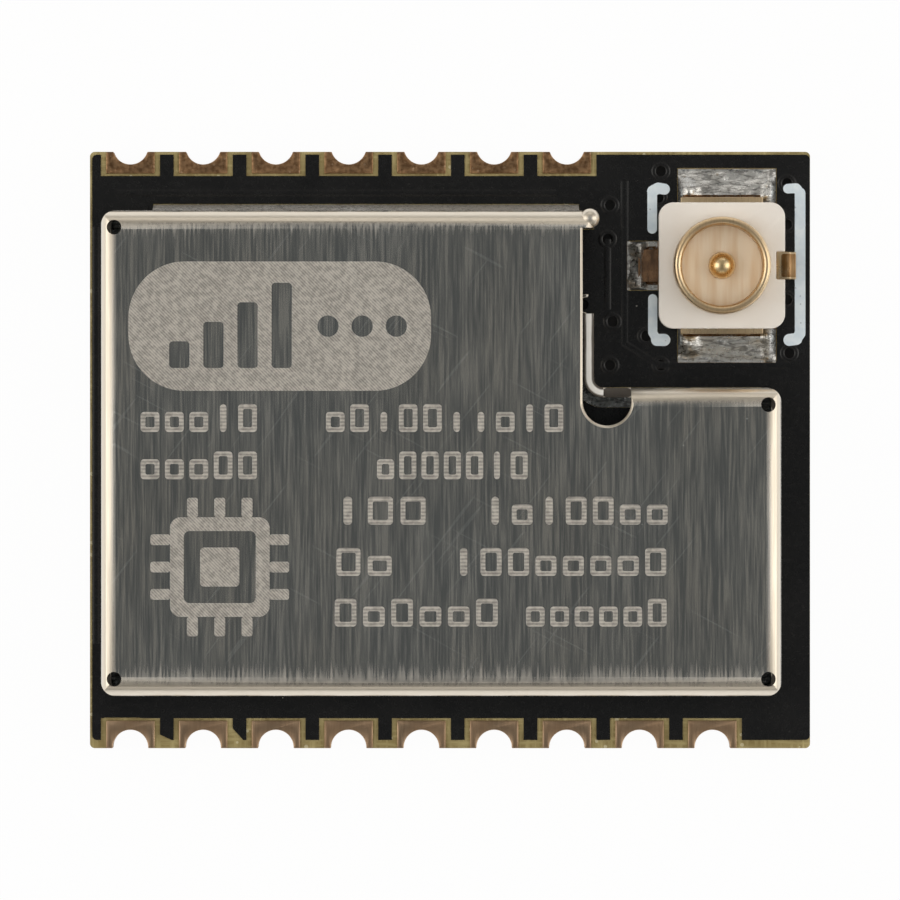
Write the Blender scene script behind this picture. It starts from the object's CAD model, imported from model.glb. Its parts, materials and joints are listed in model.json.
import json
import math

import bpy
from mathutils import Matrix, Vector, noise


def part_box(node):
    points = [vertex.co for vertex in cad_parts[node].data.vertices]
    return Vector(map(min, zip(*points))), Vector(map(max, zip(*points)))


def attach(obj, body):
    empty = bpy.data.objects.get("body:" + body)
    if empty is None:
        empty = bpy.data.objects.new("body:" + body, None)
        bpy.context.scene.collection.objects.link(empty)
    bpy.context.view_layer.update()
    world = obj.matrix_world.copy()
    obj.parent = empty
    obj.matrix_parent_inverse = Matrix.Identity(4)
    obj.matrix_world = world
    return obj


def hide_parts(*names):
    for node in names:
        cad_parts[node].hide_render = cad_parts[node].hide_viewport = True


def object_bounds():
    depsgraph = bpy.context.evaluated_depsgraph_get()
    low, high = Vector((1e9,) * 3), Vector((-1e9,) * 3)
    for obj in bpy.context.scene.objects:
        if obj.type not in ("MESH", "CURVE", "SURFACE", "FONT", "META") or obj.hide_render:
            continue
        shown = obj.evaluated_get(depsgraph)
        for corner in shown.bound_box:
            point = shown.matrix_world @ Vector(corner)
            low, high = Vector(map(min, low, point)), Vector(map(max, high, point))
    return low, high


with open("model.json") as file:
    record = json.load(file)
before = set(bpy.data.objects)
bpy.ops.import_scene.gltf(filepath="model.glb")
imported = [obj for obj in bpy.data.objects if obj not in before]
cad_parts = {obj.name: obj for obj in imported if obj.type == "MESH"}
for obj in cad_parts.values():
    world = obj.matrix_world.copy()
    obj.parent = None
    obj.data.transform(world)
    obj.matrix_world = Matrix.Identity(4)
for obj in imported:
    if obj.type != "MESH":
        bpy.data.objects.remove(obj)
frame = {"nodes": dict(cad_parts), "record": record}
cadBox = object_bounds()
print("frame loaded,", len(frame["nodes"]), "nodes")

# New pieces are modelled in millimetres in the row frame, and finishPiece scales them down.
mm = 0.001
mergeWithin = 0.0005


def boxInMm(nodeName):
    low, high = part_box(nodeName)
    return low / mm, high / mm


boardLow, boardHigh = boxInMm("board_laminate")
frontMaskTop = boxInMm("front_solder_mask")[1].z
backMaskFace = boxInMm("back_solder_mask")[0].z
canLow, canHigh = boxInMm("shield_can")
socketLow, socketHigh = boxInMm("coax_insulator")
socketMiddle = (socketLow + socketHigh) / 2
landTop = boxInMm("coax_lands")[1].z


# working on pieces

def clearSelection():
    if bpy.context.object and bpy.context.object.mode != "OBJECT":
        bpy.ops.object.mode_set(mode="OBJECT")
    bpy.ops.object.select_all(action="DESELECT")


def pick(piece):
    clearSelection()
    piece.select_set(True)
    bpy.context.view_layer.objects.active = piece


def editAll(piece):
    pick(piece)
    bpy.ops.object.mode_set(mode="EDIT")
    bpy.ops.mesh.select_all(action="SELECT")


def leaveEdit():
    bpy.ops.object.mode_set(mode="OBJECT")


def bevelPiece(piece, width, segments=2, angle=40):
    pick(piece)
    bevel = piece.modifiers.new("edges", "BEVEL")
    bevel.width = width
    bevel.segments = segments
    bevel.limit_method = "ANGLE"
    bevel.angle_limit = math.radians(angle)
    bevel.miter_outer = "MITER_ARC"
    bpy.ops.object.modifier_apply(modifier=bevel.name)


def joinPieces(pieces):
    pick(pieces[0])
    for piece in pieces[1:]:
        piece.select_set(True)
    if len(pieces) > 1:
        bpy.ops.object.join()
    return pieces[0]


def copyPiece(piece, offset):
    made = bpy.data.objects.new(piece.name, piece.data.copy())
    bpy.context.collection.objects.link(made)
    made.location = piece.location + Vector(offset)
    return made


# shade the big flat faces flat and let the small edge faces carry the turn
def weightNormals(piece):
    pick(piece)
    weighted = piece.modifiers.new("weighted", "WEIGHTED_NORMAL")
    weighted.mode = "FACE_AREA"
    weighted.keep_sharp = True
    bpy.ops.object.modifier_apply(modifier=weighted.name)


def finishPiece(piece, name, material, smoothAngle=35, weighted=False):
    pick(piece)
    piece.name = name
    bpy.ops.object.transform_apply(location=True, rotation=True, scale=True)
    piece.scale = (mm, mm, mm)
    bpy.ops.object.transform_apply(location=True, rotation=True, scale=True)
    bpy.ops.object.shade_smooth_by_angle(angle=math.radians(smoothAngle))
    if weighted:
        weightNormals(piece)
    piece.data.materials.clear()
    piece.data.materials.append(material)
    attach(piece, "root")
    clearSelection()
    return piece


# a CAD node's mesh in millimetres, merged, with its flat faces whole again
def workingCopy(nodeName):
    piece = bpy.data.objects.new(nodeName + "_copy", frame["nodes"][nodeName].data.copy())
    bpy.context.collection.objects.link(piece)
    pick(piece)
    piece.scale = (1 / mm, 1 / mm, 1 / mm)
    bpy.ops.object.transform_apply(location=True, rotation=True, scale=True)
    editAll(piece)
    bpy.ops.mesh.customdata_custom_splitnormals_clear()
    bpy.ops.mesh.remove_doubles(threshold=mergeWithin)
    bpy.ops.mesh.dissolve_limited(angle_limit=math.radians(0.4), delimit=set())
    leaveEdit()
    return piece


# nodes for materials

def add(tree, kind, inputs=None, **settings):
    made = tree.nodes.new("ShaderNode" + kind)
    for name, value in settings.items():
        setattr(made, name, value)
    for name, value in (inputs or {}).items():
        if isinstance(value, bpy.types.NodeSocket):
            tree.links.new(value, made.inputs[name])
        else:
            made.inputs[name].default_value = value
    return made


def calc(tree, operation, *values):
    return add(tree, "Math", dict(enumerate(values)), operation=operation).outputs[0]


def blend(tree, factor, first, second):
    return add(tree, "Mix", {0: factor, 6: first, 7: second}, data_type="RGBA").outputs[2]


def ramp(tree, value, low, high, to=(0, 1)):
    made = add(tree, "MapRange", {0: value, 1: low, 2: high, 3: to[0], 4: to[1]})
    return made.outputs[0]


# masks laid over one another
def either(tree, masks):
    found = masks[0]
    for mask in masks[1:]:
        found = calc(tree, "MAXIMUM", found, mask)
    return found


# a value with shares of other values added to it
def plus(tree, value, *shares):
    for other, share in shares:
        value = calc(tree, "ADD", value, calc(tree, "MULTIPLY", other, share))
    return value


def pointInMm(tree):
    coords = add(tree, "TexCoord").outputs["Object"]
    return add(tree, "VectorMath", {0: coords, "Scale": 1 / mm}, operation="SCALE").outputs[0]


def upwardness(tree):
    return add(tree, "SeparateXYZ", {0: add(tree, "NewGeometry").outputs["Normal"]}).outputs[2]


def newGroup(name, inputs, output="Mask"):
    tree = bpy.data.node_groups.new(name, "ShaderNodeTree")
    for label, kind, value in inputs:
        socket = tree.interface.new_socket(label, in_out="INPUT", socket_type="NodeSocket" + kind)
        socket.default_value = value
    tree.interface.new_socket(output, in_out="OUTPUT", socket_type="NodeSocketFloat")
    start = tree.nodes.new("NodeGroupInput")
    end = tree.nodes.new("NodeGroupOutput")
    return tree, start.outputs, end.inputs[output]


def place(tree, group, **inputs):
    made = add(tree, "Group", node_tree=group)
    for name, value in inputs.items():
        label = "".join(" " + letter if letter.isupper() else letter for letter in name).title()
        if isinstance(value, bpy.types.NodeSocket):
            tree.links.new(value, made.inputs[label])
        else:
            made.inputs[label].default_value = value
    return made.outputs[0]


def newMaterial(name):
    material = bpy.data.materials.new(name)
    material.use_nodes = True
    tree = material.node_tree
    return material, tree, tree.nodes["Principled BSDF"], pointInMm(tree)


def bump(tree, shader, height, strength, distance):
    made = add(tree, "Bump", {"Strength": strength, "Distance": distance * mm, "Height": height})
    tree.links.new(made.outputs[0], shader.inputs["Normal"])


# grain drawn out along one way, such as brushing or glass threads
grain, gIn, gOut = newGroup("drawnGrain", [
    ("Vector", "Vector", (0, 0, 0)), ("Stretch", "Vector", (1, 1, 1)), ("Detail", "Float", 2.0)])
stretched = add(grain, "VectorMath", {0: gIn["Vector"], 1: gIn["Stretch"]}, operation="MULTIPLY")
grainNoise = add(grain, "TexNoise", {"Vector": stretched.outputs[0], "Scale": 1.0, "Detail": gIn["Detail"]})
grain.links.new(grainNoise.outputs[0], gOut)

# scattered round specks: Amount is the share of cells that hold one
specks, sIn, sOut = newGroup("scatteredSpecks", [
    ("Vector", "Vector", (0, 0, 0)), ("Scale", "Float", 4.0), ("Amount", "Float", 0.1),
    ("Size", "Float", 0.1)])
cells = add(specks, "TexVoronoi", {"Vector": sIn["Vector"], "Scale": sIn["Scale"]})
pickCell = add(specks, "SeparateColor", {0: cells.outputs["Color"]}).outputs[0]
chosen = calc(specks, "LESS_THAN", pickCell, sIn["Amount"])
near = calc(specks, "LESS_THAN", cells.outputs["Distance"], sIn["Size"])
specks.links.new(calc(specks, "MULTIPLY", chosen, near), sOut)

# a flat bar with round corners, seen along Z
roundBar, bIn, bOut = newGroup("roundBar", [
    ("Vector", "Vector", (0, 0, 0)), ("Centre", "Vector", (0, 0, 0)),
    ("Half Size", "Vector", (1, 1, 0)), ("Radius", "Float", 0.1)])
flat = add(roundBar, "VectorMath", {0: bIn["Vector"], 1: bIn["Centre"]}, operation="SUBTRACT")
flat = add(roundBar, "VectorMath", {0: flat.outputs[0], 1: (1, 1, 0)}, operation="MULTIPLY")
away = add(roundBar, "VectorMath", {0: flat.outputs[0]}, operation="ABSOLUTE")
core = add(roundBar, "VectorMath", {0: away.outputs[0], 1: bIn["Half Size"]}, operation="SUBTRACT")
core = add(roundBar, "VectorMath", {0: core.outputs[0], 1: bIn["Radius"]}, operation="ADD")
core = add(roundBar, "VectorMath", {0: core.outputs[0], 1: (1, 1, 0)}, operation="MULTIPLY")
core = add(roundBar, "VectorMath", {0: core.outputs[0], 1: (0, 0, 0)}, operation="MAXIMUM")
reach = add(roundBar, "VectorMath", {0: core.outputs[0]}, operation="LENGTH")
roundBar.links.new(calc(roundBar, "LESS_THAN", reach.outputs["Value"], bIn["Radius"]), bOut)

# a word's worth of plain outlined blocks and bars on one line, some tall and some low
wordBlocks, wIn, wOut = newGroup("wordBlocks", [
    ("Vector", "Vector", (0, 0, 0)), ("Left", "Float", 0.0), ("Right", "Float", 1.0),
    ("Base", "Float", 0.0), ("Pitch", "Float", 0.48), ("Tall", "Float", 0.57),
    ("Seed", "Float", 0.0)])
wx = add(wordBlocks, "SeparateXYZ", {0: wIn["Vector"]}).outputs
along = calc(wordBlocks, "SUBTRACT", wx[0], wIn["Left"])
count = calc(wordBlocks, "DIVIDE", along, wIn["Pitch"])
cell = calc(wordBlocks, "FLOOR", count)
inCell = calc(wordBlocks, "SUBTRACT", calc(wordBlocks, "SUBTRACT", count, cell), 0.5)
cellPoint = add(wordBlocks, "CombineXYZ", {0: cell, 1: wIn["Base"], 2: wIn["Seed"]})
chance = add(wordBlocks, "TexWhiteNoise", {"Vector": cellPoint.outputs[0]}).outputs[0]
low = calc(wordBlocks, "GREATER_THAN", chance, 0.55)
height = calc(wordBlocks, "MULTIPLY", wIn["Tall"], calc(wordBlocks, "SUBTRACT", 1.0,
              calc(wordBlocks, "MULTIPLY", low, 0.28)))
halfHeight = calc(wordBlocks, "MULTIPLY", height, 0.5)
up = calc(wordBlocks, "SUBTRACT", calc(wordBlocks, "SUBTRACT", wx[1], wIn["Base"]), halfHeight)
local = add(wordBlocks, "CombineXYZ", {0: calc(wordBlocks, "MULTIPLY", inCell, wIn["Pitch"]), 1: up})
again = calc(wordBlocks, "FRACT", calc(wordBlocks, "MULTIPLY", chance, 7.3))
narrow = calc(wordBlocks, "GREATER_THAN", again, 0.74)
share = calc(wordBlocks, "SUBTRACT", 0.38, calc(wordBlocks, "MULTIPLY", narrow, 0.25))
halfBlock = add(wordBlocks, "CombineXYZ", {
    0: calc(wordBlocks, "MULTIPLY", wIn["Pitch"], share), 1: halfHeight}).outputs[0]
hollow = add(wordBlocks, "VectorMath", {0: halfBlock, 1: (0.095, 0.095, 0)}, operation="SUBTRACT")
block = calc(wordBlocks, "SUBTRACT",
             place(wordBlocks, roundBar, vector=local.outputs[0], halfSize=halfBlock, radius=0.07),
             place(wordBlocks, roundBar, vector=local.outputs[0], halfSize=hollow.outputs[0], radius=0.04))
inWord = calc(wordBlocks, "MULTIPLY", calc(wordBlocks, "GREATER_THAN", along, 0.0),
              calc(wordBlocks, "LESS_THAN", wx[0], wIn["Right"]))
wordBlocks.links.new(calc(wordBlocks, "MULTIPLY", block, inWord), wOut)
print("node groups made")


# the shield can

canFinish = {
    "edge": 0.028,
    "bare": (0.72, 0.70, 0.655, 1),
    "bareWarm": (0.66, 0.62, 0.555, 1),
    "streak": (0.40, 0.41, 0.41, 1),
    "bend": (0.77, 0.70, 0.59, 1),
    "shade": (0.10, 0.085, 0.07, 1),
    "tabTurn": (3.15, 1.48, 0), "tabTurnRadius": 0.30,
    "etched": (0.74, 0.70, 0.64, 1), "frost": (0.33, 0.31, 0.285, 1),
    "cut": (0.93, 0.91, 0.87, 1),
    "markCentre": (-3.49, 2.54, 0), "markHalf": (3.1, 1.325, 0), "markRadius": 1.15,
    "signalBars": [(-5.55, 0.55), (-4.85, 0.95), (-4.15, 1.35), (-3.45, 1.75)],
    "signalBase": 1.68, "signalHalf": 0.21, "signalRadius": 0.08,
    "dots": [-2.5, -1.8, -1.1], "dotRadius": 0.22,
    "wordTall": 0.57,
    "words": [  # left, right, base and pitch of each word
        (-6.40, -3.90, 0.37, 0.50), (-2.60, 2.38, 0.37, 0.498), (-6.40, -3.90, -0.60, 0.50),
        (-1.55, 1.65, -0.60, 0.457), (-2.43, -0.42, -1.53, 0.67), (0.65, 4.53, -1.53, 0.554),
        (-2.40, -1.12, -2.58, 0.64), (0.00, 4.50, -2.58, 0.5625), (-2.43, 1.06, -3.62, 0.58),
        (1.50, 4.50, -3.62, 0.50)],
    "iconCentre": (-4.72, -2.40, 0),
    "iconSquares": [(1.02, 0.22), (0.74, 0.12), (0.40, 0.08)],  # half size and corner radius
    "legOut": 1.22, "legApart": 0.56, "legHalf": (0.11, 0.20), "legRadius": 0.05,
    "hatchPerMm": 90.0, "rowPerMm": 85.0,
}


def canMaterial():
    material, tree, shader, point = newMaterial("brushedNickelSilver")
    xyz = add(tree, "SeparateXYZ", {0: point}).outputs
    facing = upwardness(tree)
    flatUp = calc(tree, "GREATER_THAN", facing, 0.97)
    onTop = calc(tree, "MULTIPLY", flatUp, calc(tree, "GREATER_THAN", xyz[2], canHigh.z - 0.05))
    cutEnd = calc(tree, "MULTIPLY", flatUp, calc(tree, "LESS_THAN", xyz[2], canHigh.z - 0.15))
    # the tab's top shines along the middle of the sheet only
    fromTurn = add(tree, "VectorMath", {0: point, 1: canFinish["tabTurn"]}, operation="SUBTRACT")
    fromTurn = add(tree, "VectorMath", {0: fromTurn.outputs[0], 1: (1, 1, 0)}, operation="MULTIPLY")
    fromTurn = add(tree, "VectorMath", {0: fromTurn.outputs[0], 1: (0, 0, 0)}, operation="MINIMUM")
    offMiddle = add(tree, "VectorMath", {0: fromTurn.outputs[0]}, operation="LENGTH").outputs["Value"]
    offMiddle = calc(tree, "ABSOLUTE", calc(tree, "SUBTRACT", offMiddle, canFinish["tabTurnRadius"]))
    burr = place(tree, grain, vector=point, stretch=(2, 2, 2), detail=2.0)
    lineEdge = calc(tree, "ADD", offMiddle, calc(tree, "MULTIPLY", burr, 0.03))
    shine = calc(tree, "MULTIPLY", ramp(tree, lineEdge, 0.085, 0.055),
                 calc(tree, "GREATER_THAN", xyz[2], canHigh.z - 0.6))
    bend = calc(tree, "MULTIPLY", ramp(tree, facing, 0.985, 0.95), calc(tree, "GREATER_THAN", facing, 0.2))
    leaning = calc(tree, "MULTIPLY", calc(tree, "GREATER_THAN", facing, 0.05),
                   calc(tree, "LESS_THAN", facing, 0.13))

    # marks: a panel with rising bars and dots, a square symbol and lines of blocks
    panel = place(tree, roundBar, vector=point, centre=canFinish["markCentre"],
                  halfSize=canFinish["markHalf"], radius=canFinish["markRadius"])
    half, dotSize = canFinish["signalHalf"], canFinish["dotRadius"]
    cutOuts = [
        place(tree, roundBar, vector=point, radius=canFinish["signalRadius"],
              halfSize=(half, tall / 2, 0), centre=(x, canFinish["signalBase"] + tall / 2, 0))
        for x, tall in canFinish["signalBars"]]
    cutOuts += [
        place(tree, roundBar, vector=point, radius=dotSize, halfSize=(dotSize, dotSize, 0),
              centre=(x, canFinish["markCentre"][1], 0))
        for x in canFinish["dots"]]
    fromIcon = add(tree, "VectorMath", {0: point, 1: canFinish["iconCentre"]}, operation="SUBTRACT")
    folded = add(tree, "VectorMath", {0: fromIcon.outputs[0]}, operation="ABSOLUTE").outputs[0]
    outer, inner, middle = [place(tree, roundBar, vector=folded, halfSize=(size, size, 0), radius=radius)
                            for size, radius in canFinish["iconSquares"]]
    out, (wide, long) = canFinish["legOut"], canFinish["legHalf"]
    legs = []
    for x in (0, canFinish["legApart"]):
        for centre, size in (((x, out, 0), (wide, long, 0)), ((out, x, 0), (long, wide, 0))):
            legs.append(place(tree, roundBar, vector=folded, centre=centre, halfSize=size,
                              radius=canFinish["legRadius"]))
    icon = either(tree, [calc(tree, "SUBTRACT", outer, inner), middle] + legs)
    marks = either(tree, [calc(tree, "SUBTRACT", panel, either(tree, cutOuts)), icon])
    words = either(tree, [
        place(tree, wordBlocks, vector=point, left=left, right=right, base=base, pitch=pitch,
              tall=canFinish["wordTall"], seed=left)
        for left, right, base, pitch in canFinish["words"]])
    marks = calc(tree, "MULTIPLY", marks, onTop)
    words = calc(tree, "MULTIPLY", words, onTop)
    etched = calc(tree, "MAXIMUM", marks, words)

    # brushing along Y, fine and coarse, with broad uneven patches
    fine = place(tree, grain, vector=point, stretch=(22, 0.9, 22), detail=4.0)
    coarse = place(tree, grain, vector=point, stretch=(6.5, 0.25, 6.5), detail=2.0)
    patches = place(tree, grain, vector=point, stretch=(0.35, 0.2, 0.3), detail=3.0)
    streak = calc(tree, "ADD", calc(tree, "MULTIPLY", fine, 0.65), calc(tree, "MULTIPLY", coarse, 0.35))

    # short frosted strokes reach in from the bends along both long edges
    fromEdge = calc(tree, "MINIMUM", calc(tree, "SUBTRACT", xyz[1], canLow.y),
                    calc(tree, "SUBTRACT", canHigh.y, xyz[1]))
    strokes = place(tree, grain, vector=point, stretch=(24, 0.5, 24), detail=2.0)
    reachIn = ramp(tree, strokes, 0.35, 0.7, to=(0.42, 0.78))
    fringe = calc(tree, "MULTIPLY", ramp(tree, calc(tree, "SUBTRACT", reachIn, fromEdge), 0.0, 0.25), onTop)

    # fine scratches lie across the brushing
    turned = add(tree, "Mapping", {"Vector": point, "Rotation": (0, 0, math.radians(37))}).outputs[0]
    scratches = place(tree, grain, vector=turned, stretch=(14, 0.45, 14), detail=0.0)
    scratches = ramp(tree, scratches, 0.775, 0.785)
    turnedBack = add(tree, "Mapping", {"Vector": point, "Rotation": (0, 0, math.radians(-62))}).outputs[0]
    scratchesBack = place(tree, grain, vector=turnedBack, stretch=(16, 0.4, 16), detail=0.0)
    scratchesBack = ramp(tree, scratchesBack, 0.79, 0.80)
    scratched = calc(tree, "MULTIPLY", calc(tree, "MAXIMUM", scratches, scratchesBack), 0.30)
    dust = place(tree, specks, vector=point, scale=2.3, amount=0.12, size=0.045)
    dust = calc(tree, "MULTIPLY", dust, onTop)

    colour = blend(tree, ramp(tree, patches, 0.3, 0.7), canFinish["bare"], canFinish["bareWarm"])
    colour = blend(tree, calc(tree, "MULTIPLY", ramp(tree, streak, 0.40, 0.60), 0.60), colour,
                   canFinish["streak"])
    colour = blend(tree, calc(tree, "MULTIPLY", fringe, 0.58), colour, canFinish["etched"])
    colour = blend(tree, calc(tree, "MAXIMUM", scratched, dust), colour, canFinish["cut"])

    # the frosted marks are hatched, and worn unevenly
    slant = calc(tree, "ADD", xyz[0], xyz[1])
    hatchLine = calc(tree, "SINE", calc(tree, "MULTIPLY", slant, canFinish["hatchPerMm"]))
    hatchRow = calc(tree, "SINE", calc(tree, "MULTIPLY", xyz[1], canFinish["rowPerMm"]))
    hatch = calc(tree, "ADD", calc(tree, "MULTIPLY", hatchLine, marks),
                 calc(tree, "MULTIPLY", hatchRow, words))
    worn = place(tree, grain, vector=point, stretch=(11, 11, 11), detail=4.0)
    hatch = calc(tree, "ADD", hatch, ramp(tree, worn, 0.35, 0.65, to=(-0.9, 0.9)))
    frost = blend(tree, ramp(tree, hatch, -1.5, 1.3), canFinish["frost"], canFinish["etched"])
    colour = blend(tree, calc(tree, "MULTIPLY", etched, 0.95), colour, frost)
    colour = blend(tree, bend, colour, canFinish["bend"])

    # the leaning wall is matt, and the cut ends are dark beside the shine
    wallTone = blend(tree, ramp(tree, streak, 0.40, 0.60), canFinish["cut"], canFinish["streak"])
    wallTone = blend(tree, ramp(tree, patches, 0.40, 0.62), wallTone, canFinish["bareWarm"])
    colour = blend(tree, leaning, colour, wallTone)
    colour = blend(tree, cutEnd, colour, blend(tree, shine, canFinish["shade"], canFinish["cut"]))
    rough = ramp(tree, streak, 0.40, 0.60, to=(0.27, 0.17))
    rough = plus(tree, rough, (fringe, 0.19), (etched, 0.26), (cutEnd, 0.30), (bend, 0.13))
    tree.links.new(colour, shader.inputs["Base Color"])
    tree.links.new(rough, shader.inputs["Roughness"])
    dulled = plus(tree, calc(tree, "MULTIPLY", cutEnd, 0.85), (etched, 0.30), (leaning, 0.70))
    tree.links.new(calc(tree, "SUBTRACT", 1.0, dulled), shader.inputs["Metallic"])
    bump(tree, shader, plus(tree, streak, (etched, -0.5)), 0.35, 0.004)
    return material


canDetails = {
    "ear": {"at": (2.87, 4.755, 2.735), "radius": 0.20, "flatAt": -0.12},
    "curl": {"turn": (2.80, 2.98), "radius": 0.19, "sheet": 0.07, "low": 1.95, "high": 2.47, "sweep": 192,
             "edge": 0.02},
}


# the drawn corner of the ear is a round boss with a flat underside
def makeEar():
    ear = canDetails["ear"]
    clearSelection()
    bpy.ops.mesh.primitive_uv_sphere_add(segments=28, ring_count=16, radius=ear["radius"],
                                         location=ear["at"])
    boss = bpy.context.object
    for vertex in boss.data.vertices:
        vertex.co.z = max(vertex.co.z, ear["flatAt"])
    return boss


# the tab's free end is curled back towards the roof
def makeCurl():
    curl = canDetails["curl"]
    x, y = curl["turn"]
    clearSelection()
    bpy.ops.mesh.primitive_plane_add(size=1, rotation=(0, math.radians(90), 0),
                                     location=(x, y - curl["radius"], (curl["low"] + curl["high"]) / 2))
    strip = bpy.context.object
    strip.scale = (curl["high"] - curl["low"], curl["sheet"], 1)
    bpy.ops.object.transform_apply(location=True, rotation=True, scale=True)
    editAll(strip)
    bpy.ops.mesh.spin(steps=16, angle=math.radians(curl["sweep"]), center=(x, y, 0), axis=(0, 0, 1))
    bpy.ops.mesh.select_all(action="SELECT")
    bpy.ops.mesh.remove_doubles(threshold=mergeWithin)
    bpy.ops.mesh.normals_make_consistent(inside=False)
    leaveEdit()
    bevelPiece(strip, curl["edge"])
    return strip


def makeCan():
    can = workingCopy("shield_can")
    bevelPiece(can, canFinish["edge"], segments=2)
    can = joinPieces([can, makeEar(), makeCurl()])
    finishPiece(can, "can_shell", canMaterial(), smoothAngle=32, weighted=True)
    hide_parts("shield_can")


makeCan()
print("shield can done")


# laminate, solder mask and ink

def laminateMaterial():
    material, tree, shader, point = newMaterial("glassLaminate")
    warp = place(tree, grain, vector=point, stretch=(14, 1.2, 14), detail=2.0)
    weft = place(tree, grain, vector=point, stretch=(1.2, 14, 14), detail=2.0)
    layers = place(tree, grain, vector=point, stretch=(1.5, 1.5, 26), detail=1.0)
    cloth = calc(tree, "MAXIMUM", warp, weft)
    colour = blend(tree, ramp(tree, cloth, 0.4, 0.75), (0.27, 0.205, 0.065, 1), (0.50, 0.42, 0.20, 1))
    colour = blend(tree, calc(tree, "MULTIPLY", ramp(tree, layers, 0.4, 0.65), 0.55), colour,
                   (0.17, 0.12, 0.035, 1))
    chips = place(tree, specks, vector=point, scale=5.0, amount=0.22, size=0.22)
    colour = blend(tree, calc(tree, "MULTIPLY", chips, 0.6), colour, (0.66, 0.60, 0.40, 1))
    tree.links.new(colour, shader.inputs["Base Color"])
    tree.links.new(ramp(tree, cloth, 0.3, 0.8, to=(0.45, 0.7)), shader.inputs["Roughness"])
    bump(tree, shader, calc(tree, "ADD", cloth, layers), 0.5, 0.012)
    return material


def maskMaterial():
    material, tree, shader, point = newMaterial("blackSolderMask")
    cloud = place(tree, grain, vector=point, stretch=(0.8, 0.8, 0.8), detail=4.0)
    peel = place(tree, grain, vector=point, stretch=(9, 9, 9), detail=3.0)
    pits = place(tree, specks, vector=point, scale=7.0, amount=0.10, size=0.10)
    dust = place(tree, specks, vector=point, scale=2.6, amount=0.05, size=0.05)
    colour = blend(tree, ramp(tree, cloud, 0.35, 0.7), (0.0046, 0.0046, 0.0049, 1),
                   (0.0082, 0.0079, 0.0080, 1))
    colour = blend(tree, calc(tree, "MULTIPLY", pits, 0.6), colour, (0.035, 0.033, 0.031, 1))
    colour = blend(tree, dust, colour, (0.24, 0.23, 0.21, 1))
    tree.links.new(colour, shader.inputs["Base Color"])
    tree.links.new(ramp(tree, peel, 0.3, 0.7, to=(0.20, 0.30)), shader.inputs["Roughness"])
    bump(tree, shader, plus(tree, peel, (cloud, 2.0)), 0.18, 0.01)
    return material


def inkMaterial():
    material, tree, shader, point = newMaterial("whiteInk")
    blot = place(tree, grain, vector=point, stretch=(5, 5, 5), detail=4.0)
    pin = place(tree, specks, vector=point, scale=9.0, amount=0.16, size=0.16)
    colour = blend(tree, ramp(tree, blot, 0.35, 0.7), (0.64, 0.74, 0.82, 1), (0.78, 0.86, 0.91, 1))
    colour = blend(tree, calc(tree, "MULTIPLY", pin, 0.5), colour, (0.20, 0.24, 0.29, 1))
    tree.links.new(colour, shader.inputs["Base Color"])
    tree.links.new(ramp(tree, blot, 0.3, 0.7, to=(0.5, 0.7)), shader.inputs["Roughness"])
    bump(tree, shader, blot, 0.4, 0.006)
    return material


maskFinish = maskMaterial()
inkFinish = inkMaterial()

pinInk = {
    "pitch": 1.5,
    "first": 0.835,  # from the board's left edge
    "southCount": 9, "northCount": 7,
    "capHeight": 0.9, "capShare": 0.73, "bold": 0.036,
    "advance": 0.68, "squeeze": 0.86,
    "southStart": -5.05, "northEnd": 5.06,
    "thickness": 0.012,
}


def makeDigit(digit, x, y, z):
    clearSelection()
    bpy.ops.object.text_add()
    text = bpy.context.object
    text.data.body = digit
    text.data.size = pinInk["capHeight"] / pinInk["capShare"]
    text.data.resolution_u = 4
    text.data.extrude = pinInk["thickness"] / 2
    text.data.offset = pinInk["bold"]
    bpy.ops.object.convert(target="MESH")
    across = [vertex.co.x for vertex in text.data.vertices]
    tall = [vertex.co.y for vertex in text.data.vertices]
    back = Vector(((min(across) + max(across)) / 2, (min(tall) + max(tall)) / 2, 0))
    # read from below, the digits run down the board and their tops point to +X
    turn = Matrix(((0, 1, 0, 0), (pinInk["squeeze"], 0, 0, 0), (0, 0, -1, 0), (0, 0, 0, 1)))
    text.matrix_world = Matrix.Translation((x, y, z)) @ turn @ Matrix.Translation(-back)
    bpy.ops.object.transform_apply(location=True, rotation=True, scale=True)
    return text


def makePinNumbers():
    digits = []
    total = pinInk["southCount"] + pinInk["northCount"]
    faceZ = backMaskFace - pinInk["thickness"] / 2
    for pin in range(1, total + 1):
        north = pin > pinInk["southCount"]
        x = boardLow.x + pinInk["first"] + pinInk["pitch"] * (total - pin if north else pin - 1)
        start = pinInk["northEnd"] - 2 * pinInk["advance"] if north else pinInk["southStart"]
        for column, digit in enumerate(f"{pin:02d}"):
            digits.append(makeDigit(digit, x, start + pinInk["advance"] * (column + 0.5), faceZ))
    ink = joinPieces(digits)
    editAll(ink)
    bpy.ops.mesh.remove_doubles(threshold=mergeWithin)
    bpy.ops.mesh.normals_make_consistent(inside=False)
    leaveEdit()
    finishPiece(ink, "pin_numbers", inkFinish)


bracketInk = {
    "thickness": 0.012, "stepUp": 0.0006,
    "lines": [  # width, then the points
        (0.19, [(4.18, 3.12), (4.18, 2.42), (4.27, 2.27)]),
        (0.25, [(4.27, 2.27), (4.42, 2.27)]),
        (0.20, [(4.17, 4.56), (4.17, 5.30)]),
        (0.23, [(4.18, 5.34), (4.29, 5.40), (4.42, 5.38)]),
        (0.22, [(7.22, 5.30), (7.22, 2.40), (7.14, 2.29)]),
        (0.20, [(7.22, 5.30), (7.14, 5.40), (6.97, 5.39)]),
        (0.25, [(7.14, 2.29), (7.00, 2.27)]),
    ],
}


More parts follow.
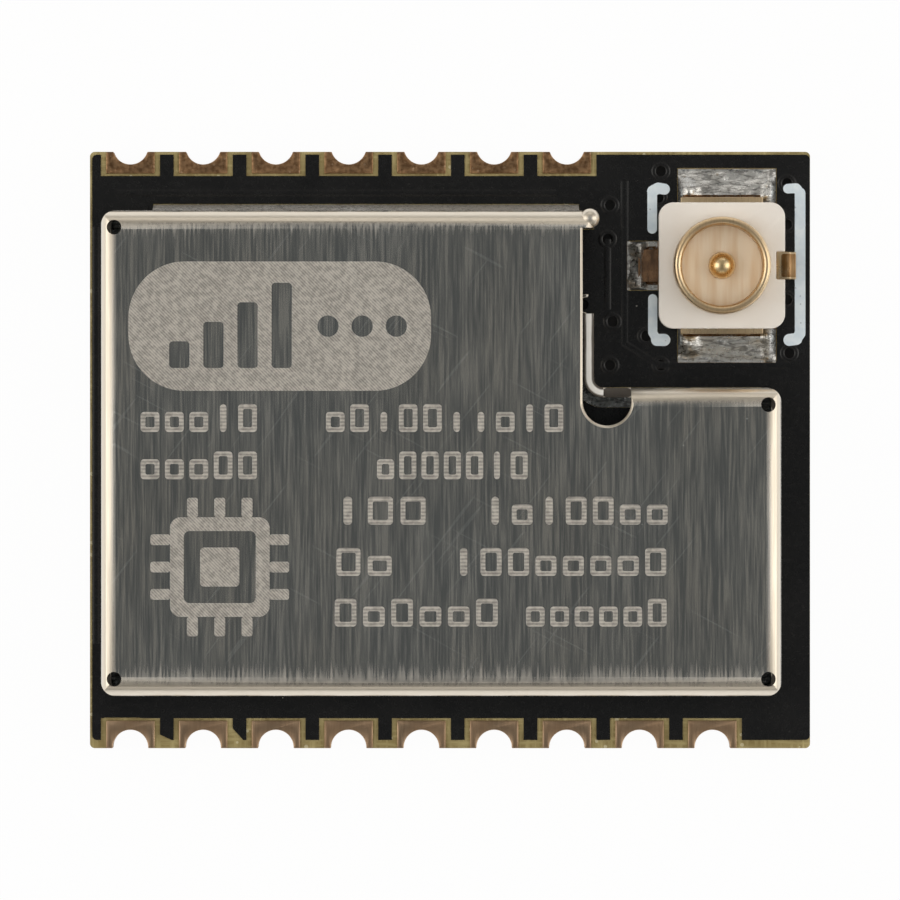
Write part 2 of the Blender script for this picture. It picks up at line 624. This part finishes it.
# a printed stroke with round ends: the hull of two discs
def makeStroke(start, end, width, thickness, base):
    discs = []
    for x, y in (start, end):
        clearSelection()
        bpy.ops.mesh.primitive_cylinder_add(vertices=20, radius=width / 2, depth=thickness,
                                            location=(x, y, base + thickness / 2))
        discs.append(bpy.context.object)
    stroke = joinPieces(discs)
    editAll(stroke)
    bpy.ops.mesh.convex_hull()
    leaveEdit()
    return stroke


# a low ridge with a rounded back: an edge pulled along the points, then thickened
def makeLine(points, width, thickness, base):
    clearSelection()
    bpy.ops.mesh.primitive_plane_add(size=width, location=(0, 0, 0))
    line = bpy.context.object
    editAll(line)
    bpy.ops.mesh.merge(type="CENTER")
    bpy.ops.transform.translate(value=(points[0][0], points[0][1], 0))
    for here, there in zip(points, points[1:]):
        step = (there[0] - here[0], there[1] - here[1], 0)
        bpy.ops.mesh.extrude_region_move(TRANSFORM_OT_translate={"value": step})
    leaveEdit()
    bpy.ops.object.convert(target="CURVE")
    line.data.dimensions = "3D"
    line.data.bevel_depth = width / 2
    line.data.bevel_resolution = 2
    line.data.use_fill_caps = True
    bpy.ops.object.convert(target="MESH")
    editAll(line)
    bpy.ops.transform.resize(value=(1, 1, 2 * thickness / width))
    bpy.ops.transform.translate(value=(0, 0, base))
    leaveEdit()
    return line


def makeBrackets():
    strokes = []
    for width, points in bracketInk["lines"]:
        for here, there in zip(points, points[1:]):
            # each overlapping stroke is a little thicker than the last
            thickness = bracketInk["thickness"] + bracketInk["stepUp"] * len(strokes)
            strokes.append(makeStroke(here, there, width, thickness, frontMaskTop))
    finishPiece(joinPieces(strokes), "socket_brackets", inkFinish)


makePinNumbers()
makeBrackets()
print("ink done")


viaRim = {
    "middle": 0.15, "wide": 0.045, "rise": 0.009, "joinWithin": 0.32,
    "canNotch": (3.0, 1.35),
}


# the middles of the plated holes, from the rings at the vias' lower ends
def viaCentres():
    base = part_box("plated_vias")[0].z
    rings = []
    for vertex in frame["nodes"]["plated_vias"].data.vertices:
        if vertex.co.z > base + 0.01 * mm:
            continue
        here = vertex.co.xy / mm
        for ring in rings:
            if (ring[0] - here).length < viaRim["joinWithin"]:
                ring.append(here)
                break
        else:
            rings.append([here])
    return [Vector(((min(p.x for p in ring) + max(p.x for p in ring)) / 2,
                    (min(p.y for p in ring) + max(p.y for p in ring)) / 2)) for ring in rings]


def makeViaRims(name, centres, z):
    clearSelection()
    bpy.ops.mesh.primitive_torus_add(major_radius=viaRim["middle"], minor_radius=viaRim["wide"],
                                     major_segments=24, minor_segments=8)
    first = bpy.context.object
    editAll(first)
    bpy.ops.transform.resize(value=(1, 1, viaRim["rise"] / viaRim["wide"]))
    leaveEdit()
    rims = [copyPiece(first, (centre.x, centre.y, z)) for centre in centres]
    bpy.data.objects.remove(first)
    finishPiece(joinPieces(rims), name, maskFinish, smoothAngle=80)


def outsideCan(centre):
    notchX, notchY = viaRim["canNotch"]
    inBox = canLow.x < centre.x < canHigh.x and canLow.y < centre.y < canHigh.y
    return not inBox or (centre.x > notchX and centre.y > notchY)


centres = viaCentres()
print("vias found:", len(centres))
makeViaRims("front_via_rims", [centre for centre in centres if outsideCan(centre)], frontMaskTop)
makeViaRims("back_via_rims", centres, backMaskFace)

traceRelief = {
    "height": 0.009,
    "back": [  # width, then the points
        (0.16, [(-6.95, -0.6), (-6.95, 2.2), (-6.2, 2.95), (-6.2, 4.9)]),
        (0.16, [(-6.65, -1.0), (-6.65, 2.05), (-5.1, 3.6), (-5.1, 4.9)]),
        (0.16, [(-6.35, -0.9), (-6.35, 1.9), (-4.6, 3.65), (-3.7, 3.65), (-3.7, 4.9)]),
        (0.16, [(-6.05, -0.3), (-6.05, 1.75), (-4.45, 3.35), (-2.75, 3.35), (-2.2, 3.9), (-2.2, 4.9)]),
        (0.16, [(5.90, -4.6), (5.90, -0.75), (4.55, 0.6), (1.25, 0.6)]),
        (0.16, [(5.55, -2.6), (5.55, -0.9), (4.40, 0.25), (1.6, 0.25), (0.95, -0.2)]),
        (0.16, [(4.90, 1.15), (4.55, 0.95), (1.2, 0.95)]),
        (0.16, [(3.36, 3.1), (5.06, 3.1), (5.06, 4.7), (3.36, 4.7), (3.36, 3.1)]),
        (0.14, [(7.2, -4.9), (7.2, 5.3)]),
        (0.16, [(-2.25, -4.6), (-2.25, -3.4), (-0.6, -1.75), (-0.6, 0.2), (0.3, 1.1), (0.3, 2.4)]),
        (0.16, [(-0.8, -4.6), (-0.8, -2.9), (0.55, -1.55), (0.9, -1.2), (0.9, -0.7)]),
    ],
    "front": [
        (0.16, [(3.6, 5.55), (3.6, 2.2), (4.3, 1.75), (7.0, 1.75)]),
        (0.14, [(3.25, 4.35), (3.25, 2.9)]),
        (0.14, [(-6.9, 5.3), (2.2, 5.3)]),
        (0.14, [(-7.3, -4.0), (-7.3, 4.6)]),
    ],
}


def makeTraces(name, side, z):
    ridges = [makeLine(points, width, traceRelief["height"], z) for width, points in traceRelief[side]]
    finishPiece(joinPieces(ridges), name, maskFinish, smoothAngle=80)


makeTraces("back_traces", "back", backMaskFace)
makeTraces("front_traces", "front", frontMaskTop)
print("mask relief done")


# edge contacts

def plateMaterial(name, bright, dull, roughness, stain):
    material, tree, shader, point = newMaterial(name)
    blot = place(tree, grain, vector=point, stretch=(1.7, 1.7, 1.7), detail=4.0)
    lines = place(tree, grain, vector=point, stretch=(26, 3, 8), detail=2.0)
    spots = place(tree, specks, vector=point, scale=10.0, amount=0.25, size=0.2)
    colour = blend(tree, ramp(tree, blot, 0.35, 0.65), bright, dull)
    colour = blend(tree, calc(tree, "MULTIPLY", ramp(tree, lines, 0.45, 0.7), 0.35), colour, stain)
    colour = blend(tree, calc(tree, "MULTIPLY", spots, 0.4), colour, stain)
    tree.links.new(colour, shader.inputs["Base Color"])
    tree.links.new(ramp(tree, blot, 0.3, 0.7, to=roughness), shader.inputs["Roughness"])
    shader.inputs["Metallic"].default_value = 1.0
    bump(tree, shader, calc(tree, "ADD", lines, blot), 0.35, 0.006)
    return material


# the +Y row's plating is stained a darker, speckled brown
def contactMaterial():
    material, tree, shader, point = newMaterial("dullEdgeGold")
    xyz = add(tree, "SeparateXYZ", {0: point}).outputs
    stained = calc(tree, "GREATER_THAN", xyz[1], 0.0)
    blot = place(tree, grain, vector=point, stretch=(1.7, 1.7, 1.7), detail=4.0)
    lines = place(tree, grain, vector=point, stretch=(26, 2.0, 8), detail=2.0)
    mottle = place(tree, grain, vector=point, stretch=(12, 12, 12), detail=4.0)
    spots = place(tree, specks, vector=point, scale=9.0, amount=0.28, size=0.22)
    clean = blend(tree, ramp(tree, blot, 0.35, 0.65), (0.62, 0.44, 0.29, 1), (0.52, 0.35, 0.22, 1))
    clean = blend(tree, calc(tree, "MULTIPLY", ramp(tree, lines, 0.40, 0.65), 0.35), clean,
                  (0.42, 0.27, 0.17, 1))
    dark = blend(tree, ramp(tree, mottle, 0.38, 0.62), (0.50, 0.30, 0.16, 1), (0.27, 0.15, 0.075, 1))
    dark = blend(tree, calc(tree, "MULTIPLY", spots, 0.45), dark, (0.70, 0.50, 0.33, 1))
    tree.links.new(blend(tree, stained, clean, dark), shader.inputs["Base Color"])
    # the faces that meet the host board are the roughest
    underneath = calc(tree, "LESS_THAN", xyz[2], 0.05)
    rough = plus(tree, ramp(tree, blot, 0.3, 0.7, to=(0.26, 0.42)), (underneath, 0.12))
    tree.links.new(rough, shader.inputs["Roughness"])
    shader.inputs["Metallic"].default_value = 1.0
    grit = calc(tree, "ADD", calc(tree, "MULTIPLY", mottle, stained), lines)
    bump(tree, shader, calc(tree, "ADD", grit, blot), 0.4, 0.006)
    return material


# the middle of the socket's side tab is burnt brown
def stainSideTab(material):
    tree = material.node_tree
    base = tree.nodes["Principled BSDF"].inputs["Base Color"]
    point = pointInMm(tree)
    tab = place(tree, roundBar, vector=point, halfSize=(0.17, 0.24, 0), radius=0.05,
                centre=(socketMiddle.x + 1.39, socketMiddle.y, 0))
    smear = place(tree, grain, vector=point, stretch=(5, 2, 5), detail=3.0)
    tab = calc(tree, "MULTIPLY", tab, ramp(tree, smear, 0.3, 0.6, to=(0.6, 1.0)))
    tree.links.new(blend(tree, tab, base.links[0].from_socket, (0.30, 0.15, 0.05, 1)), base)


contactEdge = 0.016
edgeGold = contactMaterial()
socketGold = plateMaterial("brightGold", (0.86, 0.68, 0.44, 1), (0.78, 0.58, 0.35, 1), (0.24, 0.36),
                           (0.56, 0.37, 0.20, 1))
stainSideTab(socketGold)
copperFinish = plateMaterial("viaCopper", (0.62, 0.42, 0.27, 1), (0.5, 0.32, 0.2, 1), (0.35, 0.5),
                             (0.25, 0.15, 0.1, 1))


def makeContacts():
    for name in sorted(n for n in frame["nodes"] if n.startswith("edge_contact_")):
        contact = workingCopy(name)
        bevelPiece(contact, contactEdge, segments=2)
        finishPiece(contact, name.replace("edge_", "plated_"), edgeGold, weighted=True)
        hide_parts(name)


makeContacts()
print("edge contacts done")


# the coaxial socket

def plasticMaterial():
    material, tree, shader, point = newMaterial("creamPlastic")
    blot = place(tree, grain, vector=point, stretch=(1.1, 1.1, 1.1), detail=4.0)
    flow = place(tree, grain, vector=point, stretch=(7, 7, 7), detail=3.0)
    pits = place(tree, specks, vector=point, scale=8.0, amount=0.12, size=0.12)
    colour = blend(tree, ramp(tree, blot, 0.35, 0.65), (0.92, 0.88, 0.83, 1), (0.88, 0.83, 0.77, 1))
    colour = blend(tree, calc(tree, "MULTIPLY", pits, 0.35), colour, (0.60, 0.52, 0.43, 1))
    bowl = place(tree, roundBar, vector=point, centre=tuple(socketMiddle), halfSize=(0.93, 0.93, 0),
                 radius=0.93)
    streaks = place(tree, grain, vector=point, stretch=(6, 0.6, 6), detail=2.0)
    floorTone = blend(tree, ramp(tree, streaks, 0.4, 0.65), (0.97, 0.84, 0.66, 1), (0.86, 0.68, 0.47, 1))
    colour = blend(tree, bowl, colour, floorTone)
    tree.links.new(colour, shader.inputs["Base Color"])
    tree.links.new(ramp(tree, flow, 0.3, 0.7, to=(0.42, 0.56)), shader.inputs["Roughness"])
    bump(tree, shader, flow, 0.25, 0.008)
    return material


def solderMaterial():
    material, tree, shader, point = newMaterial("reflowedSolder")
    pool = place(tree, grain, vector=point, stretch=(3.2, 3.2, 3.2), detail=4.0)
    ripple = place(tree, grain, vector=point, stretch=(1.7, 8.0, 4.0), detail=3.0)
    grit = place(tree, grain, vector=point, stretch=(17, 17, 17), detail=3.0)
    flux = place(tree, specks, vector=point, scale=6.0, amount=0.2, size=0.18)
    colour = blend(tree, ramp(tree, pool, 0.35, 0.65), (0.90, 0.90, 0.88, 1), (0.66, 0.65, 0.62, 1))
    wave = ramp(tree, calc(tree, "ABSOLUTE", calc(tree, "SUBTRACT", ripple, 0.5)), 0.045, 0.012)
    colour = blend(tree, calc(tree, "MULTIPLY", wave, 0.75), colour, (0.25, 0.24, 0.23, 1))
    colour = blend(tree, calc(tree, "MULTIPLY", flux, 0.5), colour, (0.40, 0.33, 0.24, 1))
    # flux has dried brown along both feet and beside the tail
    stained = [place(tree, roundBar, vector=point, halfSize=(0.80, 0.03, 0), radius=0.02,
                     centre=(socketMiddle.x, socketMiddle.y + out, 0)) for out in (-1.43, 1.43)]
    stained.append(place(tree, roundBar, vector=point, halfSize=(0.17, 0.40, 0), radius=0.12,
                         centre=(socketMiddle.x - 1.42, socketMiddle.y, 0)))
    stain = calc(tree, "MULTIPLY", either(tree, stained), ramp(tree, grit, 0.25, 0.5, to=(0.5, 1.0)))
    colour = blend(tree, stain, colour, (0.14, 0.075, 0.035, 1))
    tree.links.new(colour, shader.inputs["Base Color"])
    tree.links.new(ramp(tree, grit, 0.35, 0.7, to=(0.24, 0.46)), shader.inputs["Roughness"])
    shader.inputs["Metallic"].default_value = 1.0
    bump(tree, shader, plus(tree, calc(tree, "ADD", pool, ripple), (grit, 0.3)), 0.8, 0.03)
    return material


creamPlastic = plasticMaterial()
solderFinish = solderMaterial()

socketParts = {
    "bodyEdge": 0.07,
    "metalEdge": 0.022,
    "pools": [  # each with its lobes: across, out, half widths and height
        {"width": 2.02, "from": 1.30, "to": 1.995, "toe": 1.44, "top": 0.20, "slump": 1.1, "shift": 0.11,
         "turn": 0, "seed": 2.0,
         "lobes": [(-0.78, 0.25, 0.16, 0.40, 0.20), (0.85, 0.0, 0.09, 0.9, 0.14)]},
        {"width": 2.02, "from": 1.30, "to": 1.995, "toe": 1.44, "top": 0.20, "slump": 1.1, "shift": 0.11,
         "turn": 180, "seed": 7.0,
         "lobes": [(0.78, 0.35, 0.17, 0.36, 0.20), (-0.85, 0.1, 0.09, 0.9, 0.15)]},
        {"width": 1.0, "from": 1.32, "to": 1.945, "toe": 1.66, "top": 0.17, "slump": 1.3, "shift": 0.0,
         "turn": 90, "seed": 4.0,
         "lobes": [(0.70, 0.25, 0.28, 0.5, 0.12), (-0.72, 0.3, 0.24, 0.5, 0.10)]},
    ],
    "thinnest": 0.014, "skirt": 0.012,
}


# a sheet of solder that climbs the metal, slumps in the middle and thins to the land's edge
def solderPillow(size):
    clearSelection()
    bpy.ops.mesh.primitive_grid_add(x_subdivisions=48, y_subdivisions=20, size=1)
    pillow = bpy.context.object
    length = size["to"] - size["from"]
    editAll(pillow)
    bpy.ops.transform.resize(value=(size["width"], length, 1))
    bpy.ops.transform.translate(value=(0, size["from"] + length / 2, 0))
    leaveEdit()
    for vertex in pillow.data.vertices:
        x, y, z = vertex.co
        across = x / (size["width"] / 2)
        out = (y - size["toe"]) / (size["to"] - size["toe"])
        rise = max(0.0, 1 - out) ** size["slump"] if out > 0 else max(0.0, 1 + out * 2.0)
        height = size["top"] * (0.82 * rise + 0.14 * noise.noise(Vector((x * 3.2, y * 5.0, size["seed"]))))
        for middle, far, wide, deep, tall in size["lobes"]:
            height += tall * math.exp(-((across - middle) / wide) ** 2 - ((out - far) / deep) ** 2)
        edge = max(0.0, min(1.0, (1 - abs(across)) * 12, (1 - out) * 7)) ** 0.5
        vertex.co.z = max(socketParts["thinnest"], height * edge)
    editAll(pillow)
    bpy.ops.mesh.extrude_region_move(TRANSFORM_OT_translate={"value": (0, 0, -socketParts["skirt"])})
    bpy.ops.mesh.select_all(action="SELECT")
    bpy.ops.mesh.normals_make_consistent(inside=False)
    leaveEdit()
    pillow.rotation_euler.z = math.radians(size["turn"])
    pillow.location = (socketMiddle.x + size["shift"], socketMiddle.y, landTop)
    pick(pillow)
    bpy.ops.object.transform_apply(location=True, rotation=True, scale=True)
    return pillow


def makeSocket():
    body = workingCopy("coax_insulator")
    bevelPiece(body, socketParts["bodyEdge"], segments=3, angle=50)
    finishPiece(body, "socket_body", creamPlastic, weighted=True)
    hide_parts("coax_insulator")
    shell = workingCopy("coax_shell")
    bevelPiece(shell, socketParts["metalEdge"], segments=2, angle=50)
    finishPiece(shell, "socket_shell", socketGold, weighted=True)
    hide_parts("coax_shell")
    solder = joinPieces([solderPillow(size) for size in socketParts["pools"]])
    finishPiece(solder, "socket_solder", solderFinish, smoothAngle=60)
    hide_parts("coax_solder")


makeSocket()
print("socket done")


# finishes of the nodes that stay as they are

def mouldMaterial(name, base, speck):
    material, tree, shader, point = newMaterial(name)
    cloud = place(tree, grain, vector=point, stretch=(2, 2, 2), detail=4.0)
    grit = place(tree, grain, vector=point, stretch=(20, 20, 20), detail=3.0)
    colour = blend(tree, ramp(tree, cloud, 0.35, 0.65), base, speck)
    colour = blend(tree, calc(tree, "MULTIPLY", ramp(tree, grit, 0.5, 0.75), 0.4), colour, speck)
    tree.links.new(colour, shader.inputs["Base Color"])
    tree.links.new(ramp(tree, grit, 0.3, 0.7, to=(0.45, 0.65)), shader.inputs["Roughness"])
    bump(tree, shader, grit, 0.3, 0.008)
    return material


# the pin is polished, and flux has browned its tail outside the insulator
def pinMaterial():
    material, tree, shader, point = newMaterial("pinGold")
    x = add(tree, "SeparateXYZ", {0: point}).outputs[0]
    blot = place(tree, grain, vector=point, stretch=(9, 4, 9), detail=3.0)
    tail = calc(tree, "LESS_THAN", x, socketLow.x + 0.05)
    gold = blend(tree, ramp(tree, blot, 0.35, 0.65), (0.95, 0.76, 0.46, 1), (0.86, 0.64, 0.34, 1))
    brown = blend(tree, ramp(tree, blot, 0.35, 0.65), (0.30, 0.17, 0.09, 1), (0.12, 0.07, 0.04, 1))
    tree.links.new(blend(tree, tail, gold, brown), shader.inputs["Base Color"])
    tree.links.new(ramp(tree, blot, 0.3, 0.7, to=(0.24, 0.34)), shader.inputs["Roughness"])
    metal = calc(tree, "SUBTRACT", 1.0, calc(tree, "MULTIPLY", tail, 0.4))
    tree.links.new(metal, shader.inputs["Metallic"])
    bump(tree, shader, blot, 0.25, 0.006)
    return material


# the vias' plugs and rims lie under ink, and only the bores' walls show copper
def viaMaterial():
    material, tree, shader, point = newMaterial("inkedVias")
    blot = place(tree, grain, vector=point, stretch=(6, 6, 6), detail=3.0)
    facing = upwardness(tree)
    wall = calc(tree, "LESS_THAN", calc(tree, "ABSOLUTE", facing), 0.5)
    ink = blend(tree, blot, (0.004, 0.004, 0.004, 1), (0.010, 0.009, 0.009, 1))
    copper = blend(tree, blot, (0.09, 0.055, 0.035, 1), (0.16, 0.10, 0.06, 1))
    tree.links.new(blend(tree, wall, ink, copper), shader.inputs["Base Color"])
    tree.links.new(ramp(tree, blot, 0.3, 0.7, to=(0.34, 0.5)), shader.inputs["Roughness"])
    bump(tree, shader, blot, 0.4, 0.01)
    return material


slotFinish = {
    "laminate": laminateMaterial(),
    "solder_mask": maskFinish,
    "edge_gold": edgeGold,
    "copper": copperFinish,
    "shield_metal": solderFinish,
    "solder": solderFinish,
    "socket_plastic": creamPlastic,
    "socket_gold": socketGold,
    "chip_mould": mouldMaterial("blackMoulding", (0.018, 0.018, 0.02, 1), (0.04, 0.04, 0.042, 1)),
    "tinned_metal": plateMaterial("matteTin", (0.75, 0.75, 0.73, 1), (0.62, 0.62, 0.6, 1), (0.3, 0.5),
                                  (0.45, 0.44, 0.42, 1)),
    "dark_ceramic": mouldMaterial("darkCeramic", (0.09, 0.08, 0.07, 1), (0.13, 0.12, 0.1, 1)),
    "capacitor_ceramic": mouldMaterial("tanCeramic", (0.42, 0.29, 0.18, 1), (0.5, 0.37, 0.25, 1)),
    "inductor_ceramic": mouldMaterial("paleCeramic", (0.5, 0.54, 0.6, 1), (0.62, 0.65, 0.7, 1)),
    "resistor_ceramic": mouldMaterial("blackCeramic", (0.025, 0.025, 0.027, 1), (0.06, 0.06, 0.06, 1)),
}
ownFinish = {"plated_vias": viaMaterial(), "coax_contact": pinMaterial()}
for part in frame["record"]["subparts"]:
    node = frame["nodes"][part["node"]]
    finish = ownFinish.get(part["node"]) or slotFinish[part["material_slot"]]
    node.data.materials.clear()
    node.data.materials.append(finish)
print("finishes given")


# floor, light and camera

studio = {
    "zenith": 0.120, "sides": 0.66, "north": 0.27, "south": 0.17, "under": 0.86,
    "zenithColour": (0.93, 0.99, 1.0, 1), "horizonColour": (1.0, 0.965, 0.91, 1),
    "zenithStarts": 0.983, "horizonEnds": 0.922,
    "lamps": [  # place and size in metres, watts, mirrored in the metal or not
        ("lamp_left", (-0.42, 0.02, 0.30), (0.30, 0.46), 0.50, True),
        ("lamp_right", (0.42, 0.02, 0.30), (0.30, 0.46), 0.50, True),
        ("lamp_front", (0.0, -0.42, 0.22), (0.40, 0.20), 0.12, True),
        ("lamp_back", (0.0, 0.42, 0.22), (0.40, 0.20), 0.18, True),
        ("lamp_over", (0.0, 0.0, 0.60), (0.30, 0.30), 0.80, False),
    ],
    "floor": 1.6, "floorPaint": (0.90, 0.90, 0.90, 1), "floorWhite": 0.965,
    "underPart": (7.6, 6.3, 0), "underRadius": 0.5,
    "lens": 700, "sensor": 36, "shareOfFrame": 0.80,
}


def makeFloor():
    clearSelection()
    bpy.ops.mesh.primitive_plane_add(size=studio["floor"])
    floor = bpy.context.object
    floor.name = "studio_floor"
    material = bpy.data.materials.new("whiteFloor")
    material.use_nodes = True
    tree = material.node_tree
    tree.nodes.clear()
    path = add(tree, "LightPath").outputs
    below = add(tree, "NewGeometry").outputs["Backfacing"]
    # the part's own underside doesn't mirror the floor it lies on
    hidden = place(tree, roundBar, vector=pointInMm(tree), halfSize=studio["underPart"],
                   radius=studio["underRadius"])
    mirrored = calc(tree, "MAXIMUM", path["Is Glossy Ray"], path["Is Transmission Ray"])
    mirrored = calc(tree, "MULTIPLY", mirrored, calc(tree, "SUBTRACT", 1.0, hidden))
    seen = calc(tree, "MAXIMUM", path["Is Camera Ray"], mirrored)
    paint = add(tree, "BsdfDiffuse", {"Color": studio["floorPaint"]}).outputs[0]
    white = add(tree, "Emission", {"Color": (1, 1, 1, 1), "Strength": 1.0}).outputs[0]
    shown = add(tree, "MixShader", {0: studio["floorWhite"], 1: paint, 2: white}).outputs[0]
    clear = add(tree, "BsdfTransparent").outputs[0]
    top = add(tree, "MixShader", {0: seen, 1: clear, 2: shown}).outputs[0]
    both = add(tree, "MixShader", {0: below, 1: top, 2: clear}).outputs[0]
    add(tree, "OutputMaterial", {0: both})
    floor.data.materials.append(material)


def makeSky():
    world = bpy.data.worlds.new("studio")
    bpy.context.scene.world = world
    world.use_nodes = True
    tree = world.node_tree
    tree.nodes.clear()
    x, y, height = add(tree, "SeparateXYZ", {0: add(tree, "TexCoord").outputs["Generated"]}).outputs
    across = calc(tree, "ABSOLUTE", x)
    along = calc(tree, "ABSOLUTE", y)
    sideways = calc(tree, "DIVIDE", across, calc(tree, "ADD", calc(tree, "ADD", across, along), 0.001))
    ends = ramp(tree, y, -0.15, 0.15, to=(studio["south"], studio["north"]))
    horizon = add(tree, "Mix", {0: ramp(tree, sideways, 0.35, 0.75), 2: ends, 3: studio["sides"]},
                  data_type="FLOAT").outputs[0]
    up = ramp(tree, calc(tree, "ABSOLUTE", height), studio["horizonEnds"], studio["zenithStarts"])
    below = calc(tree, "LESS_THAN", height, 0.0)
    horizon = add(tree, "Mix", {0: below, 2: horizon, 3: studio["under"]}, data_type="FLOAT").outputs[0]
    level = add(tree, "Mix", {0: up, 2: horizon, 3: studio["zenith"]}, data_type="FLOAT").outputs[0]
    tint = blend(tree, up, studio["horizonColour"], studio["zenithColour"])
    light = add(tree, "Background", {"Color": tint, "Strength": level}).outputs[0]
    white = add(tree, "Background", {"Color": (1, 1, 1, 1), "Strength": 1.0}).outputs[0]
    camera = add(tree, "LightPath").outputs["Is Camera Ray"]
    shown = add(tree, "MixShader", {0: camera, 1: light, 2: white}).outputs[0]
    add(tree, "OutputWorld", {0: shown})


def makeLamps():
    for name, where, size, power, mirrored in studio["lamps"]:
        lamp = bpy.data.lights.new(name, "AREA")
        lamp.shape = "RECTANGLE"
        lamp.size, lamp.size_y = size
        lamp.energy = power
        lamp.color = studio["horizonColour"][:3]
        holder = bpy.data.objects.new(name, lamp)
        bpy.context.collection.objects.link(holder)
        holder.location = where
        holder.rotation_euler = Vector(where).to_track_quat("Z", "Y").to_euler()
        holder.visible_camera = False
        holder.visible_glossy = mirrored


def makeCamera():
    low, high = cadBox
    middle = (low + high) / 2
    data = bpy.data.cameras.new("camera")
    data.lens = studio["lens"]
    data.sensor_width = studio["sensor"]
    data.clip_start, data.clip_end = 0.001, 10
    camera = bpy.data.objects.new("camera", data)
    bpy.context.collection.objects.link(camera)
    across = (high.x - low.x) / studio["shareOfFrame"]
    distance = across * studio["lens"] / studio["sensor"]
    camera.location = (middle.x, middle.y, boardHigh.z * mm + distance)
    bpy.context.scene.camera = camera


makeFloor()
makeSky()
makeLamps()
makeCamera()
bpy.context.scene.view_settings.view_transform = "Standard"
print("studio ready")
